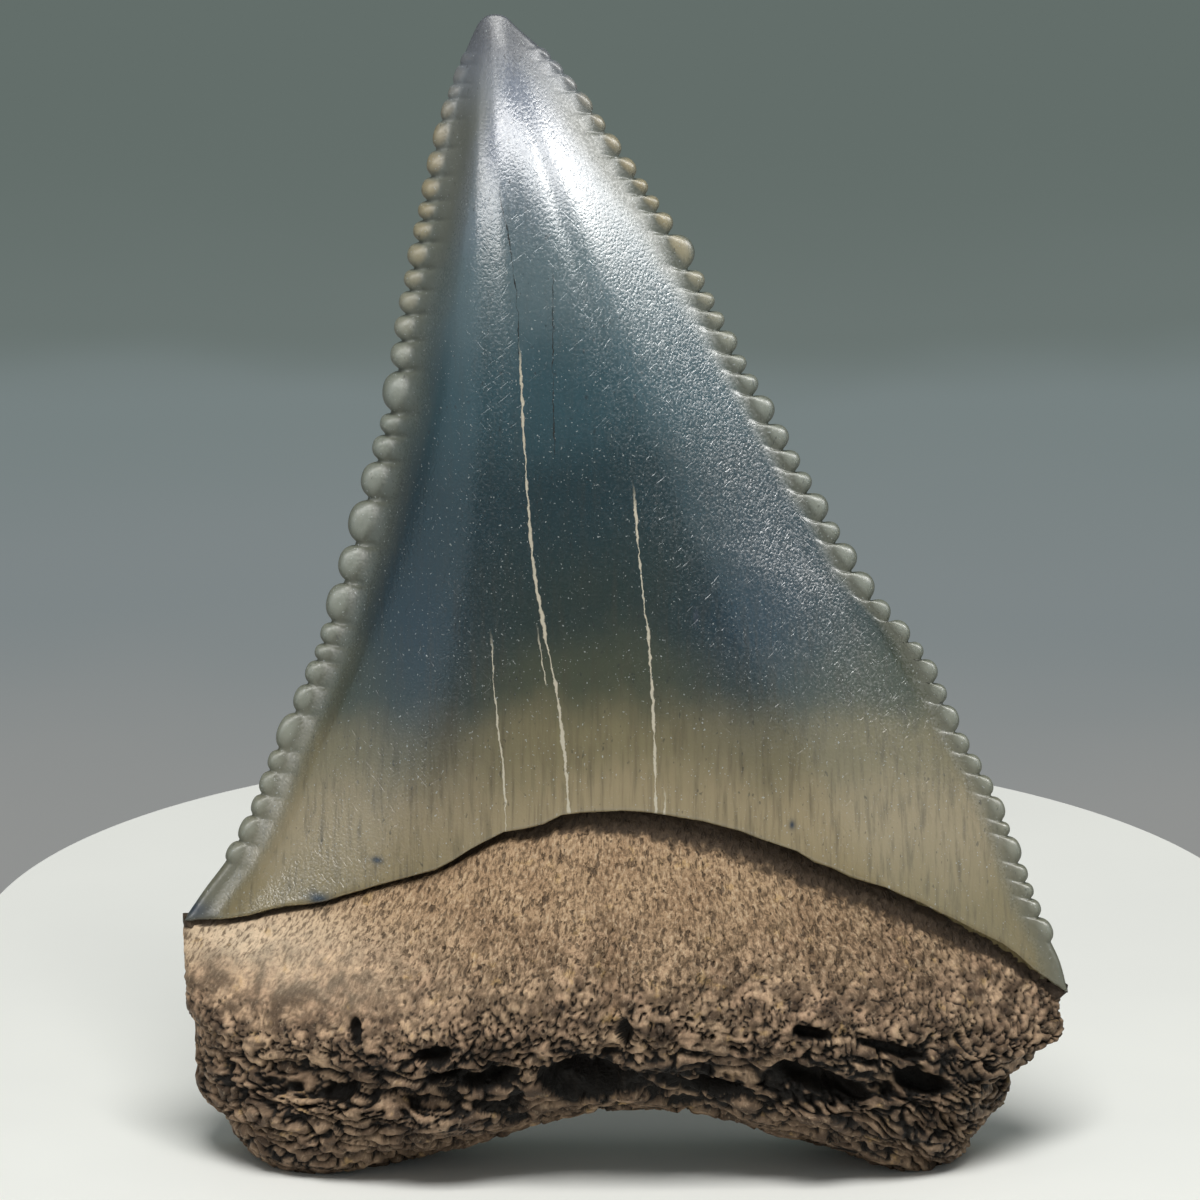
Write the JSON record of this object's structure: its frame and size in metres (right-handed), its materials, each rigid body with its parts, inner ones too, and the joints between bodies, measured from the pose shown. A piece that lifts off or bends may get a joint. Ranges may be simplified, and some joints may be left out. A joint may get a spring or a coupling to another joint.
{
  "type": "fossil shark tooth",
  "caption": "Fossil great white shark tooth: a triangular serrated enamel crown on a thick, worn, two-lobed bony root.",
  "frame": {"origin": "centre of the footprint, on the floor that both root lobes rest on", "axes": "+Z from the root towards the tip of the crown, +Y towards the flatter lip side, +X towards the longer cutting edge"},
  "size_m": [0.0364, 0.0098, 0.0478],
  "materials": {
    "root": "rough fossil bone, light brown at the neck and dark purple-brown in the pits",
    "enamel": "glossy, finely scratched slate-blue enamel turning olive-tan near the root"
  },
  "bodies": {
    "root": {"tooth": "root"}
  },
  "joints": []
}
